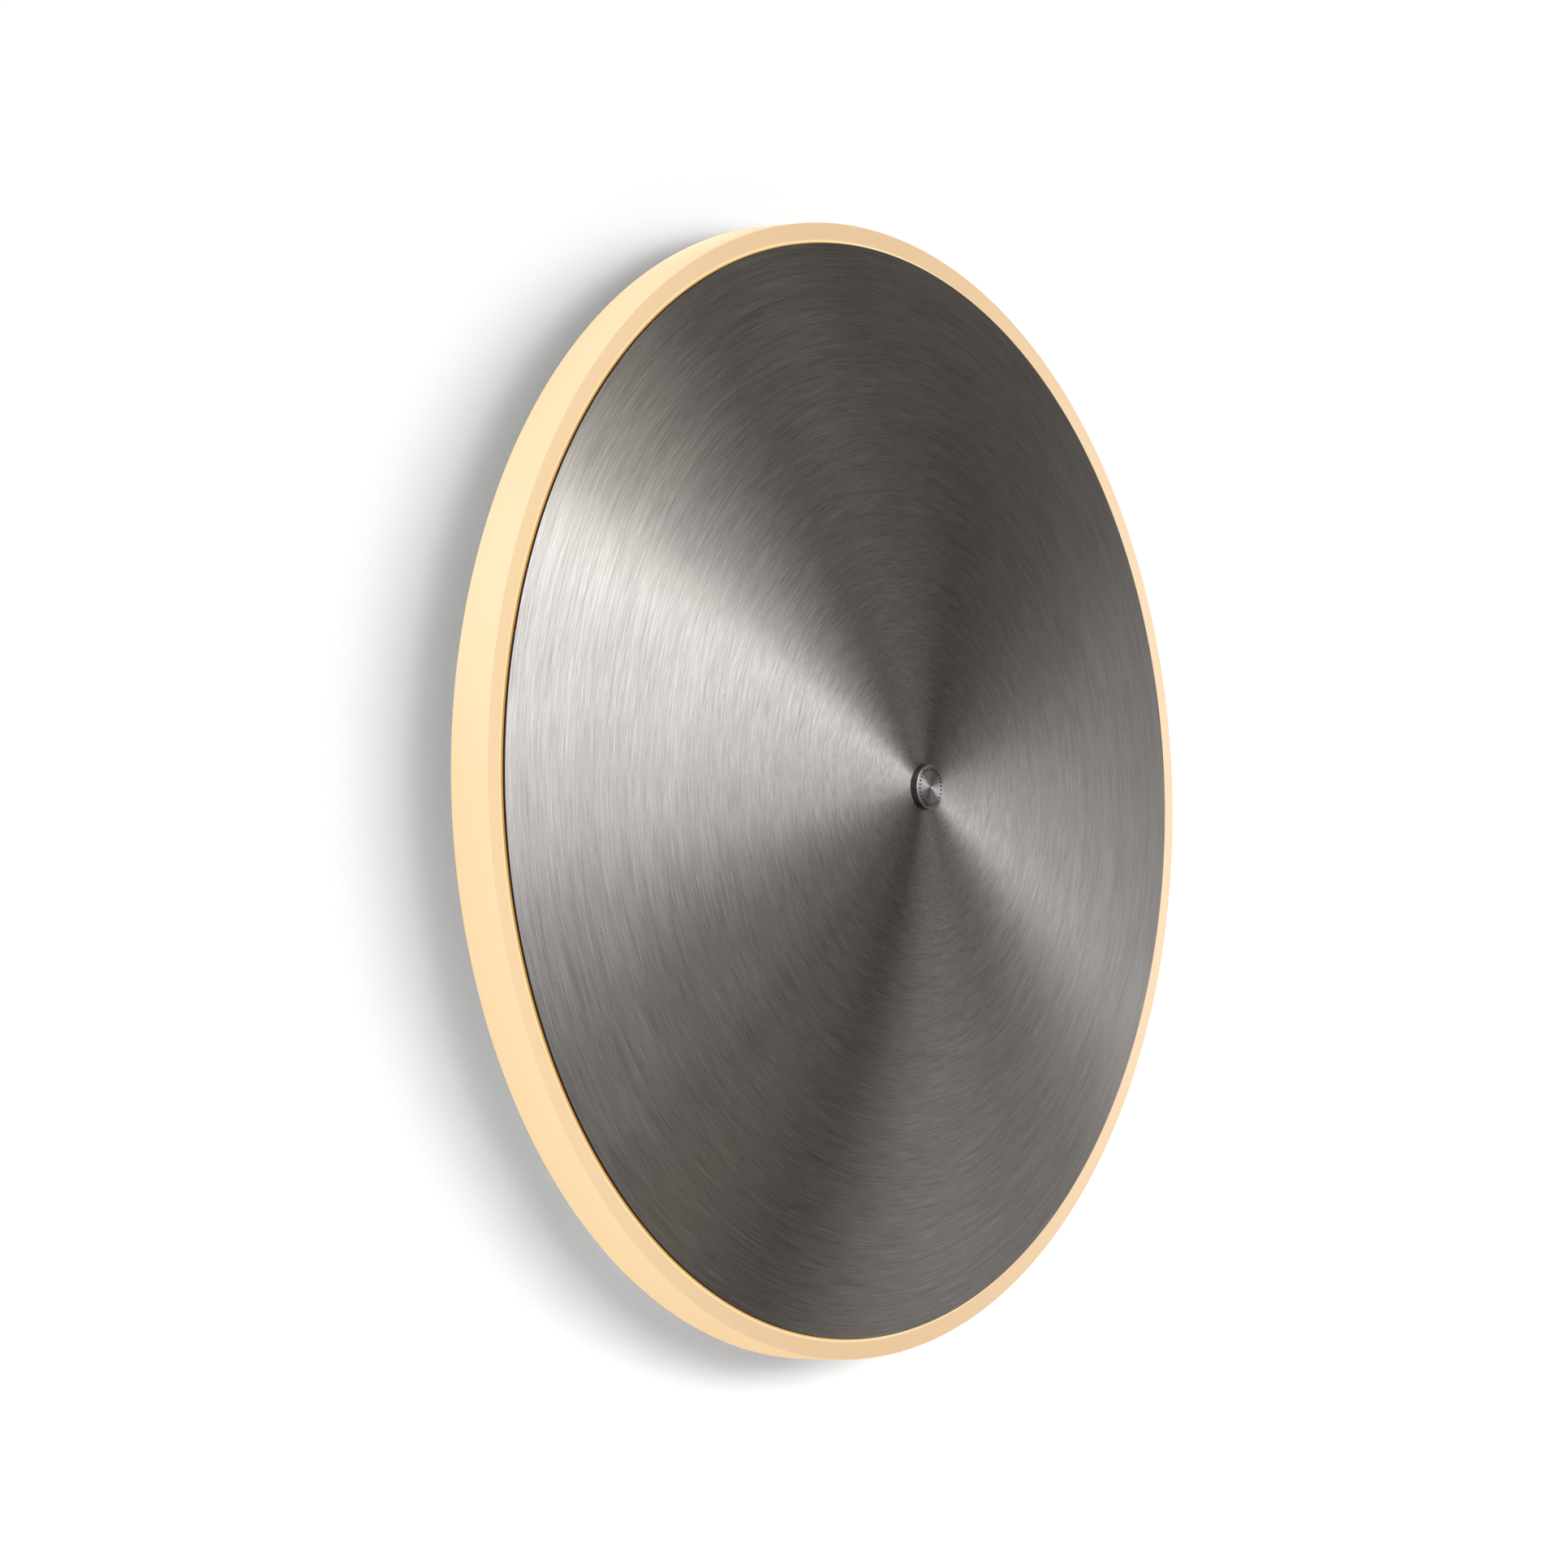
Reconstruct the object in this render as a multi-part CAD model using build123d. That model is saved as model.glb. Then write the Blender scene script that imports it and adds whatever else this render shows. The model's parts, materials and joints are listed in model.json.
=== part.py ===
"""Disc wall light: a spun metal dish held by a turned finial over an edge-lit acrylic disc.

Every piece is drawn about the lamp's own axis, with z as the distance from the wall in millimetres,
x to the right and y up as the lamp is seen from the front. place() turns it into the row frame:
+Z up, the lamp's front facing -Y, and the origin on the wall at the lamp's axis.
"""

import math
import os

from build123d import *

# Driving dimensions, mm
DISH_R = 200.0
DISH_RISE = 30.5  # crown above the rim
DISH_SHEET = 1.0
RIM_GAP = 0.5  # between the dish's rim and the acrylic
ACRYLIC_R = 207.0
ACRYLIC_BORE_R = 91.0
ACRYLIC_DEPTH = 16.3
ACRYLIC_EDGE = 0.5
CANOPY_R = 62.0
CANOPY_DEPTH = 20.0
CANOPY_SHEET = 1.2
CAP_R = 8.2
CAP_DEPTH = 2.9
M6_R, M4_R, M3_R = 3.0, 2.0, 1.5
THREAD_TRAVEL = 8.0  # length of the finial's thread in the post
RUN = 0.05  # radial clearance of a piece that turns in another
FREE = 0.3  # radial clearance of a screw's through hole

# Distances from the wall that follow from them
PLATE_SHEET = 1.5
PLATE_BACK = CANOPY_DEPTH
ACRYLIC_BACK = PLATE_BACK + PLATE_SHEET
ACRYLIC_FRONT = ACRYLIC_BACK + ACRYLIC_DEPTH
REFLECTOR_SHEET = 0.4
REFLECTOR_FRONT = ACRYLIC_FRONT + REFLECTOR_SHEET
RETAINER_SHEET = 1.2
RETAINER_FRONT = REFLECTOR_FRONT + RETAINER_SHEET
RIM_BACK = ACRYLIC_FRONT + RIM_GAP
CROWN = RIM_BACK + DISH_SHEET + DISH_RISE
CANOPY_INSIDE = CANOPY_DEPTH - CANOPY_SHEET

# The dish is a slice of a hollow sphere
SPHERE_R = (DISH_R**2 + DISH_RISE**2) / (2 * DISH_RISE)
SPHERE_Z = CROWN - SPHERE_R

# Wall bracket
BRACKET_R = 56.0
BRACKET_SHEET = 1.6
CABLE_HOLE_R = 12.5
SLOT_X, SLOT_LENGTH, SLOT_R = 40.0, 18.0, 2.4
EAR_X, EAR_WIDTH, EAR_DEPTH = 57.5, 16.0, 14.0
SIDE_SCREW_Z = 10.0
EARTH_POST_Y = 34.0

# Chassis
PLATE_R = 198.0
HUB_R, HUB_INNER_R, HUB_FLOOR = 88.0, 82.0, 2.0
HUB_INSIDE = ACRYLIC_BACK + HUB_FLOOR
CHASSIS_SCREW_R = 46.0
CHASSIS_SCREW_ANGLES = (-20, 200, 270)
RETAINER_SCREW_R = 85.0
RETAINER_SCREWS, RETAINER_START = 6, 0.0
RETAINER_IN_R, RETAINER_OUT_R = 79.0, 101.0
REFLECTOR_R = 196.0
LEAD_NOTCH_ANGLE = 27.0
LEAD_NOTCH_WIDTH = 9.0
GROMMET_X, GROMMET_Y, GROMMET_R = -30.0, 4.0, 6.0

# Light engine
STRIP_SHEET, STRIP_WIDTH = 0.4, 10.0
CHIPS, CHIP_LENGTH, CHIP_WIDTH, CHIP_HEIGHT = 60, 3.5, 2.8, 0.8
STRIP_MID = ACRYLIC_BACK + ACRYLIC_DEPTH / 2

# Driver
DRIVER_Y, DRIVER_LENGTH, DRIVER_WIDTH, DRIVER_DEPTH = 41.0, 90.0, 34.0, 21.0
DRIVER_LID = 2.0
TERMINAL_LENGTH, TERMINAL_WIDTH, TERMINAL_DEPTH = 8.0, 26.0, 13.0
DRIVER_TAB, DRIVER_TAB_SHEET = 9.0, 1.6

# Post and finial
POST_FOOT_R, POST_FOOT = 20.0, 4.0
POST_NECK_R = 8.0
POST_HEAD_R, POST_HEAD = 14.0, 3.0
SEAT_SHEET, SEAT_GAP = 1.0, 0.5
SEAT_FRONT = CROWN - DISH_SHEET - SEAT_GAP
POST_FRONT = SEAT_FRONT - SEAT_SHEET
CAP_WASHER_R, CAP_WASHER_SHEET = 8.5, 0.4
CAP_BACK = CROWN + CAP_WASHER_SHEET
CAP_EDGE = 0.35
CAP_MARKS, CAP_MARK_R, CAP_MARK_LENGTH = 28, 6.5, 1.1
CAP_MARK_WIDTH, CAP_MARK_DEPTH = 0.4, 0.2

# Terminal block in the canopy
BLOCK_X, BLOCK_Y, BLOCK_LENGTH, BLOCK_WIDTH, BLOCK_DEPTH = -22.0, -38.0, 32.0, 14.0, 10.0
BLOCK_PITCH = 10.0

# Rim pads
PADS, PAD_R, PAD_AT = 6, 4.0, 188.0

# Leads and their ends
LEAD_R = 1.1
EARTH_SCREW = (-23.5, -54.0)
LEAD_START_Y = BLOCK_Y + 4
BLOCK_PORT_Z = CANOPY_INSIDE - BLOCK_DEPTH + 5.5
DRIVER_PORT_Z = HUB_INSIDE + 7
LUG_PORT_Z = HUB_INSIDE + 1.9
PORT_X = (DRIVER_LENGTH / 2 + TERMINAL_LENGTH) - 2.5

BASE = (Align.CENTER, Align.CENTER, Align.MIN)


def place(shape):
    """From the lamp's own axes to the row frame."""
    return Rot(90, 0, 0) * shape


def disc(radius, low, high, x=0.0, y=0.0):
    return Pos(x, y, low) * Cylinder(radius, high - low, align=BASE)


def ring(outer, inner, low, high, x=0.0, y=0.0):
    return disc(outer, low, high, x, y) - disc(inner, low - 1, high + 1, x, y)


def block(x, y, low, length, width, depth):
    return Pos(x, y, low) * Box(length, width, depth, align=BASE)


def turned(*points):
    """A solid of revolution about the lamp's axis, from (radius, z) points."""
    face = Plane.XZ * make_face(Polyline(*points, close=True))
    return revolve(face, Axis.Z, 360)


def hexagon(across_flats, low, high, x=0.0, y=0.0):
    flat = RegularPolygon(across_flats / 2, 6, major_radius=False)
    return extrude(Pos(x, y, low) * flat, high - low)


def polar(radius, angle):
    turn = math.radians(angle)
    return radius * math.cos(turn), radius * math.sin(turn)


def around(count, radius, start=0.0):
    return [polar(radius, start + 360 * i / count) for i in range(count)]


def pan_screw(radius, head_r, head, seat, tip, x=0.0, y=0.0, outwards=True):
    """A cross-recessed pan head screw: its head stands on seat and its shank ends at tip."""
    way = 1 if outwards else -1
    top = seat + way * head
    screw = disc(head_r, min(seat, top), max(seat, top), x, y)
    rim = screw.edges().filter_by(GeomType.CIRCLE).sort_by(Axis.Z)[-1 if outwards else 0]
    screw = fillet(rim, head * 0.45)
    screw += disc(radius, min(seat, tip), max(seat, tip), x, y)
    recess = head * 0.55
    low = top - recess if outwards else top - 1
    for length, width in ((head_r, head_r * 0.28), (head_r * 0.28, head_r)):
        screw -= block(x, y, low, length, width, recess + 1)
    return screw


def chassis_holes():
    """Through holes shared by the canopy, the back plate and the hub's floor."""
    holes = disc(M6_R + FREE, 0, HUB_INSIDE + 1)
    holes += disc(GROMMET_R, 0, HUB_INSIDE + 1, GROMMET_X, GROMMET_Y)
    for angle in CHASSIS_SCREW_ANGLES:
        x, y = polar(CHASSIS_SCREW_R, angle)
        holes += disc(M4_R + FREE, 0, HUB_INSIDE + 1, x, y)
    return holes


def wall_bracket():
    plate = disc(BRACKET_R, 0, BRACKET_SHEET)
    for side in (-1, 1):
        bridge = BRACKET_R / 2 + EAR_X / 2
        plate += block(side * bridge, 0, 0, EAR_X, EAR_WIDTH, BRACKET_SHEET)
        ear = block(side * (EAR_X + BRACKET_SHEET / 2), 0, 0, BRACKET_SHEET, EAR_WIDTH, EAR_DEPTH)
        notch = 2 * (M4_R + FREE)
        ear -= block(side * EAR_X, 0, SIDE_SCREW_Z, 9, notch, EAR_DEPTH)
        ear -= Pos(side * EAR_X, 0, SIDE_SCREW_Z) * Rot(0, 90, 0) * Cylinder(notch / 2, 9)
        plate += ear
    clip = Box(2 * (EAR_X + BRACKET_SHEET), 2 * BRACKET_R, 2 * EAR_DEPTH)
    plate &= clip
    plate -= disc(CABLE_HOLE_R, -1, BRACKET_SHEET + 1)
    for side in (-1, 1):
        slot = SlotOverall(SLOT_LENGTH, 2 * SLOT_R)
        plate -= extrude(Pos(side * SLOT_X, 0, -1) * slot, BRACKET_SHEET + 2)
    plate -= disc(M4_R, -1, BRACKET_SHEET + 1, 0, EARTH_POST_Y)
    return plate


def bracket_earth_screw():
    x, y = 0.0, EARTH_POST_Y
    head = hexagon(7, BRACKET_SHEET, BRACKET_SHEET + 2.6, x, y)
    head += disc(M4_R - 0.05, 0.1, BRACKET_SHEET, x, y)
    return head - block(x, y, BRACKET_SHEET + 1.4, 8.5, 1.0, 2)


def canopy():
    """A shallow cup that is open to the wall."""
    edge = 0.3  # the rim stands just clear of the wall
    inner = CANOPY_R - CANOPY_SHEET
    cup = disc(CANOPY_R, edge, CANOPY_DEPTH)
    cup = fillet(cup.edges().filter_by(GeomType.CIRCLE).sort_by(Axis.Z)[-1], 2.4)
    cup -= disc(inner, -1, CANOPY_INSIDE)
    for side in (-1, 1):
        hole = Pos(side * CANOPY_R, 0, SIDE_SCREW_Z) * Rot(0, 90, 0)
        cup -= hole * Cylinder(M4_R + FREE, 8)
    return cup - chassis_holes()


def side_screw(side):
    shank = Cylinder(M4_R, CANOPY_R - 52.5, align=BASE)
    head = Pos(0, 0, CANOPY_R - 52.5) * Cylinder(3.8, 2.6, align=BASE)
    head = fillet(head.edges().filter_by(GeomType.CIRCLE).sort_by(Axis.Z)[-1], 0.8)
    screw = shank + head
    screw -= Pos(0, 0, CANOPY_R - 52.5 + 1.4) * Box(9, 1.0, 3, align=BASE)
    return Pos(side * 52.5, 0, SIDE_SCREW_Z) * Rot(0, 90 * side, 0) * screw


def side_nut(side):
    nut = extrude(RegularPolygon(3.5, 6, major_radius=False), 3.0)
    nut -= Pos(0, 0, -1) * Cylinder(M4_R + 0.02, 6, align=BASE)
    return Pos(side * 54.3, 0, SIDE_SCREW_Z) * Rot(0, 90 * side, 0) * nut


def back_plate():
    plate = disc(PLATE_R, PLATE_BACK, ACRYLIC_BACK)
    return plate - chassis_holes()


def led_hub():
    """A shallow pan whose thick wall carries the light strip and takes its heat."""
    hub = disc(HUB_R, ACRYLIC_BACK, ACRYLIC_FRONT)
    hub -= disc(HUB_INNER_R, HUB_INSIDE, ACRYLIC_FRONT + 1)
    for x, y in around(RETAINER_SCREWS, RETAINER_SCREW_R, RETAINER_START):
        hub -= disc(M3_R, ACRYLIC_FRONT - 9, ACRYLIC_FRONT + 1, x, y)
    notch = block(HUB_R, 0, STRIP_MID - 2.0, 24, LEAD_NOTCH_WIDTH, ACRYLIC_DEPTH)
    hub -= Rot(0, 0, LEAD_NOTCH_ANGLE) * notch
    return hub - chassis_holes()


def led_strip():
    low = STRIP_MID - STRIP_WIDTH / 2
    return ring(HUB_R + STRIP_SHEET, HUB_R, low, low + STRIP_WIDTH)


def led_chips():
    chips = []
    for i in range(CHIPS):
        box = Box(CHIP_HEIGHT, CHIP_LENGTH, CHIP_WIDTH, align=(Align.MIN, Align.CENTER, Align.CENTER))
        # the strip is round, so a flat chip stands on its crown
        at = Pos(HUB_R + STRIP_SHEET + 0.01, 0, STRIP_MID)
        chips.append(Rot(0, 0, 360 * (i + 0.5) / CHIPS) * at * box)
    return chips


def diffuser():
    plate = ring(ACRYLIC_R, ACRYLIC_BORE_R, ACRYLIC_BACK, ACRYLIC_FRONT)
    rims = plate.edges().filter_by(GeomType.CIRCLE).filter_by(lambda e: e.radius > ACRYLIC_R - 1)
    return chamfer(rims, ACRYLIC_EDGE)


def front_reflector():
    sheet = ring(REFLECTOR_R, RETAINER_IN_R, ACRYLIC_FRONT, REFLECTOR_FRONT)
    for x, y in around(RETAINER_SCREWS, RETAINER_SCREW_R, RETAINER_START):
        sheet -= disc(M3_R + FREE, ACRYLIC_FRONT - 1, REFLECTOR_FRONT + 1, x, y)
    return sheet


def retainer_ring():
    sheet = ring(RETAINER_OUT_R, RETAINER_IN_R, REFLECTOR_FRONT, RETAINER_FRONT)
    for x, y in around(RETAINER_SCREWS, RETAINER_SCREW_R, RETAINER_START):
        sheet -= disc(M3_R + FREE, REFLECTOR_FRONT - 1, RETAINER_FRONT + 1, x, y)
    return sheet


def retainer_screws():
    tip = ACRYLIC_FRONT - 7
    return [
        pan_screw(M3_R - 0.02, 2.8, 2.0, RETAINER_FRONT, tip, x, y)
        for x, y in around(RETAINER_SCREWS, RETAINER_SCREW_R, RETAINER_START)
    ]


def chassis_screws():
    tip = HUB_INSIDE + 5.0
    return [
        pan_screw(M4_R, 3.8, 2.6, CANOPY_INSIDE, tip, *polar(CHASSIS_SCREW_R, angle), outwards=False)
        for angle in CHASSIS_SCREW_ANGLES
    ]


def chassis_nuts():
    nuts = []
    for angle in CHASSIS_SCREW_ANGLES:
        x, y = polar(CHASSIS_SCREW_R, angle)
        nut = hexagon(7, HUB_INSIDE, HUB_INSIDE + 3.2, x, y)
        nuts.append(nut - disc(M4_R + 0.02, HUB_INSIDE - 1, HUB_INSIDE + 5, x, y))
    return nuts


def driver_case():
    case = block(0, DRIVER_Y, HUB_INSIDE, DRIVER_LENGTH, DRIVER_WIDTH, DRIVER_DEPTH - DRIVER_LID)
    case = fillet(case.edges().filter_by(Axis.Z), 2.5)
    inside = block(0, DRIVER_Y, HUB_INSIDE + 2, DRIVER_LENGTH - 4, DRIVER_WIDTH - 4, DRIVER_DEPTH)
    case -= inside
    for side in (-1, 1):
        tab_y = DRIVER_Y - DRIVER_WIDTH / 2 - DRIVER_TAB / 2
        x = side * (DRIVER_LENGTH / 2 - DRIVER_TAB)
        case += block(x, tab_y + 0.5, HUB_INSIDE, DRIVER_TAB, DRIVER_TAB + 1, DRIVER_TAB_SHEET)
        case -= disc(M3_R + FREE, HUB_INSIDE - 1, HUB_INSIDE + 4, x, tab_y)
    return case


def driver_board():
    """The potted circuit board in the case."""
    return block(0, DRIVER_Y, HUB_INSIDE + 2.1, DRIVER_LENGTH - 6, DRIVER_WIDTH - 6, 13.0)


def driver_lid():
    low = HUB_INSIDE + DRIVER_DEPTH - DRIVER_LID
    lid = block(0, DRIVER_Y, low, DRIVER_LENGTH, DRIVER_WIDTH, DRIVER_LID)
    lid = fillet(lid.edges().filter_by(Axis.Z), 2.5)
    lid = chamfer(lid.faces().sort_by(Axis.Z)[-1].edges(), 0.6)
    lip = block(0, DRIVER_Y, low - 1.5, DRIVER_LENGTH - 4.4, DRIVER_WIDTH - 4.4, 1.5)
    return lid + lip


def driver_terminals():
    """A row of push-in terminals at each end of the driver."""
    ends = []
    for side in (-1, 1):
        x = side * (DRIVER_LENGTH + TERMINAL_LENGTH) / 2
        end = block(x, DRIVER_Y, HUB_INSIDE, TERMINAL_LENGTH, TERMINAL_WIDTH, TERMINAL_DEPTH)
        for y in (-1, 1):
            port = Pos(x + side * TERMINAL_LENGTH / 2, DRIVER_Y + 5 * y, DRIVER_PORT_Z) * Rot(0, 90, 0)
            end -= port * Cylinder(LEAD_R + 0.15, 6)
            end -= block(x, DRIVER_Y + 5 * y, HUB_INSIDE + 11.5, 4, 4.5, 3)
        ends.append(end)
    return ends


def driver_screws():
    y = DRIVER_Y - DRIVER_WIDTH / 2 - DRIVER_TAB / 2
    seat = HUB_INSIDE + DRIVER_TAB_SHEET
    tab_x = DRIVER_LENGTH / 2 - DRIVER_TAB
    return [
        pan_screw(M3_R - 0.02, 2.8, 2.0, seat, HUB_INSIDE + 0.02, side * tab_x, y)
        for side in (-1, 1)
    ]


def support_post():
    """A turned post from the hub's floor to the dish's crown, tapped at both ends."""
    post = turned(
        (0, HUB_INSIDE),
        (POST_FOOT_R, HUB_INSIDE),
        (POST_FOOT_R, HUB_INSIDE + POST_FOOT),
        (POST_NECK_R + 3, HUB_INSIDE + POST_FOOT + 1.5),
        (POST_NECK_R, HUB_INSIDE + POST_FOOT + 5),
        (POST_NECK_R, POST_FRONT - POST_HEAD - 5),
        (POST_HEAD_R, POST_FRONT - POST_HEAD),
        (POST_HEAD_R, POST_FRONT),
        (0, POST_FRONT),
    )
    post -= disc(M6_R + RUN, POST_FRONT - THREAD_TRAVEL - 2, POST_FRONT + 1)
    return post - disc(M6_R + 0.02, HUB_INSIDE - 1, HUB_INSIDE + 14)


def post_screw():
    """The hex screw that clamps canopy, back plate, hub and post together."""
    screw = hexagon(10, CANOPY_INSIDE - 5.6, CANOPY_INSIDE - 1.6)
    return screw + disc(M6_R, CANOPY_INSIDE - 1.7, HUB_INSIDE + 12)


def post_washer():
    return ring(9.0, M6_R + FREE, CANOPY_INSIDE - 1.6, CANOPY_INSIDE)


def grommet():
    flange, lip = 2.0, 1.6
    x, y = GROMMET_X, GROMMET_Y
    body = disc(GROMMET_R, CANOPY_INSIDE, HUB_INSIDE, x, y)
    body += disc(GROMMET_R + flange, CANOPY_INSIDE - lip, CANOPY_INSIDE, x, y)
    body += disc(GROMMET_R + flange, HUB_INSIDE, HUB_INSIDE + lip, x, y)
    return body - disc(GROMMET_R - 1.6, CANOPY_INSIDE - 5, HUB_INSIDE + 5, x, y)


def terminal_block():
    low = CANOPY_INSIDE - BLOCK_DEPTH
    body = block(BLOCK_X, BLOCK_Y, low, BLOCK_LENGTH, BLOCK_WIDTH, BLOCK_DEPTH)
    for i in (-1, 0, 1):
        x = BLOCK_X + i * BLOCK_PITCH
        body -= block(x + BLOCK_PITCH / 2, BLOCK_Y, low - 1, 0.8, BLOCK_WIDTH + 2, 3)
        body -= disc(2.6, low - 1, low + 4, x, BLOCK_Y)
        body -= Pos(x, BLOCK_Y, BLOCK_PORT_Z) * Rot(90, 0, 0) * Cylinder(LEAD_R + 0.15, BLOCK_WIDTH + 2)
    return body


def terminal_screws():
    low = CANOPY_INSIDE - BLOCK_DEPTH
    screws = []
    for i in (-1, 0, 1):
        x = BLOCK_X + i * BLOCK_PITCH
        screw = disc(2.3, low + 1.2, low + 3.9, x, BLOCK_Y)
        screws.append(screw - block(x, BLOCK_Y, low, 5, 0.8, 2.0))
    return screws


def earth_lug():
    """A ring terminal under the earth screw on the hub's floor."""
    x, y = EARTH_SCREW
    lug = ring(4.0, M4_R + 0.1, HUB_INSIDE, HUB_INSIDE + 0.8, x, y)
    lug += block(x, y + 6.0, HUB_INSIDE, 4.0, 6.0, 0.8)
    along = Pos(x, y + 10.5, LUG_PORT_Z) * Rot(90, 0, 0)
    barrel = along * Cylinder(1.9, 5.0) - along * Cylinder(LEAD_R + 0.1, 6.0)
    return lug + barrel


def earth_screw():
    x, y = EARTH_SCREW
    seat = HUB_INSIDE + 0.8
    head = hexagon(7, seat, seat + 2.6, x, y) + disc(M4_R - 0.1, HUB_INSIDE + 0.02, seat, x, y)
    return head - block(x, y, seat + 1.4, 8.5, 1.0, 2)


def lead(radii, *points):
    """A round insulated lead along straight runs joined by arcs."""
    path = FilletPolyline(*points, radius=radii)
    start = Plane(origin=path @ 0, z_dir=path % 0)
    return sweep(start * Circle(LEAD_R), path=path)


def in_grommet(angle):
    """Where one of the three mains leads passes the grommet."""
    x, y = polar(2.6, angle)
    return GROMMET_X + x, GROMMET_Y + y


def live_lead():
    """From the terminal block, through the grommet, round the outside of its neighbour."""
    x, y = in_grommet(210)
    return lead(
        [4, 3.5, 6, 6],
        (BLOCK_X - BLOCK_PITCH, LEAD_START_Y, BLOCK_PORT_Z),
        (x, y, BLOCK_PORT_Z),
        (x, y, DRIVER_PORT_Z),
        (-66, y, DRIVER_PORT_Z),
        (-66, DRIVER_Y + 5, DRIVER_PORT_Z),
        (-PORT_X, DRIVER_Y + 5, DRIVER_PORT_Z),
    )


def neutral_lead():
    x, y = in_grommet(330)
    return lead(
        [4, 4, 4, 3, 3.5, 4, 4],
        (BLOCK_X, LEAD_START_Y, BLOCK_PORT_Z),
        (BLOCK_X, y - 22, BLOCK_PORT_Z),
        (x, y - 12, BLOCK_PORT_Z),
        (x, y, BLOCK_PORT_Z),
        (x, y, DRIVER_PORT_Z),
        (x, 14, DRIVER_PORT_Z),
        (-61, 14, DRIVER_PORT_Z),
        (-61, DRIVER_Y - 5, DRIVER_PORT_Z),
        (-PORT_X, DRIVER_Y - 5, DRIVER_PORT_Z),
    )


def earth_lead():
    """From the terminal block, through the grommet, down to the lug on the hub's floor."""
    x, y = in_grommet(90)
    start_x = BLOCK_X + BLOCK_PITCH
    run_x, lug_y = EARTH_SCREW
    low = HUB_INSIDE + 3.6
    return lead(
        [4, 4, 2.5, 3, 6, 6],
        (start_x, LEAD_START_Y, BLOCK_PORT_Z),
        (start_x, y, BLOCK_PORT_Z),
        (x, y, BLOCK_PORT_Z),
        (x, y, low),
        (run_x, y, low),
        (run_x, lug_y + 34, low),
        (run_x, lug_y + 20, LUG_PORT_Z),
        (run_x, lug_y + 9, LUG_PORT_Z),
    )


def led_lead(port_y, across):
    """From the driver's right-hand end through the hub's notch to the back of the strip."""
    turn = Rot(0, 0, LEAD_NOTCH_ANGLE)
    gate = (turn * Pos(HUB_INNER_R - 5, across, 0)).position
    end = (turn * Pos(HUB_R - 0.1, across, 0)).position
    return lead(
        [3.5, 3.5],
        (PORT_X, port_y, DRIVER_PORT_Z),
        (PORT_X + 11.5, port_y, DRIVER_PORT_Z),
        (gate.X, gate.Y, DRIVER_PORT_Z),
        (end.X, end.Y, DRIVER_PORT_Z),
    )


def dish():
    """The spun dish: concentric spheres trimmed to the rim, with a hole for the finial."""
    ball = Pos(0, 0, SPHERE_Z) * Sphere(SPHERE_R)
    hollow = Pos(0, 0, SPHERE_Z) * Sphere(SPHERE_R - DISH_SHEET)
    shell = ball - hollow
    shell &= disc(DISH_R, RIM_BACK - 5, CROWN + 5)
    return shell - disc(M6_R + FREE, RIM_BACK, CROWN + 5)


def rim_pads():
    """Soft pads inside the rim, cut to the dish's curve."""
    hollow = Pos(0, 0, SPHERE_Z) * Sphere(SPHERE_R - DISH_SHEET - 0.02)
    pads = []
    for x, y in around(PADS, PAD_AT, 30):
        pads.append(disc(PAD_R, REFLECTOR_FRONT + FREE, RIM_BACK + 8, x, y) & hollow)
    return pads


def seat_washer():
    return ring(POST_HEAD_R, M6_R + FREE, POST_FRONT, SEAT_FRONT)


def cap_washer():
    return ring(CAP_WASHER_R, M6_R + FREE, CROWN, CAP_BACK)


def finial_cap():
    cap = disc(CAP_R, CAP_BACK, CAP_BACK + CAP_DEPTH)
    cap = fillet(cap.edges().filter_by(GeomType.CIRCLE), CAP_EDGE)
    front = CAP_BACK + CAP_DEPTH
    marks = [
        Rot(0, 0, 360 * i / CAP_MARKS) * Pos(CAP_MARK_R, 0, front - CAP_MARK_DEPTH)
        * extrude(SlotOverall(CAP_MARK_LENGTH, CAP_MARK_WIDTH), 1)
        for i in range(CAP_MARKS)
    ]
    cap -= marks
    tip = POST_FRONT - THREAD_TRAVEL
    stem = disc(M6_R, tip, CAP_BACK + 1)
    stem = chamfer(stem.edges().filter_by(GeomType.CIRCLE).sort_by(Axis.Z)[0], 0.6)
    return cap + stem


PIECES = {
    "wall_bracket": wall_bracket,
    "bracket_earth_screw": bracket_earth_screw,
    "canopy": canopy,
    "canopy_side_screws": lambda: [side_screw(side) for side in (-1, 1)],
    "canopy_side_nuts": lambda: [side_nut(side) for side in (-1, 1)],
    "back_plate": back_plate,
    "led_hub": led_hub,
    "led_strip": led_strip,
    "led_chips": led_chips,
    "diffuser": diffuser,
    "front_reflector": front_reflector,
    "retainer_ring": retainer_ring,
    "retainer_screws": retainer_screws,
    "chassis_screws": chassis_screws,
    "chassis_nuts": chassis_nuts,
    "driver_case": driver_case,
    "driver_board": driver_board,
    "driver_lid": driver_lid,
    "driver_terminals": driver_terminals,
    "driver_screws": driver_screws,
    "support_post": support_post,
    "post_screw": post_screw,
    "post_washer": post_washer,
    "grommet": grommet,
    "terminal_block": terminal_block,
    "terminal_screws": terminal_screws,
    "earth_lug": earth_lug,
    "earth_screw": earth_screw,
    "live_lead": live_lead,
    "neutral_lead": neutral_lead,
    "earth_lead": earth_lead,
    "led_lead_positive": lambda: led_lead(DRIVER_Y - 5, -1.8),
    "led_lead_negative": lambda: led_lead(DRIVER_Y + 5, 1.8),
    "dish": dish,
    "rim_pads": rim_pads,
    "seat_washer": seat_washer,
    "cap_washer": cap_washer,
    "finial_cap": finial_cap,
}

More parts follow.
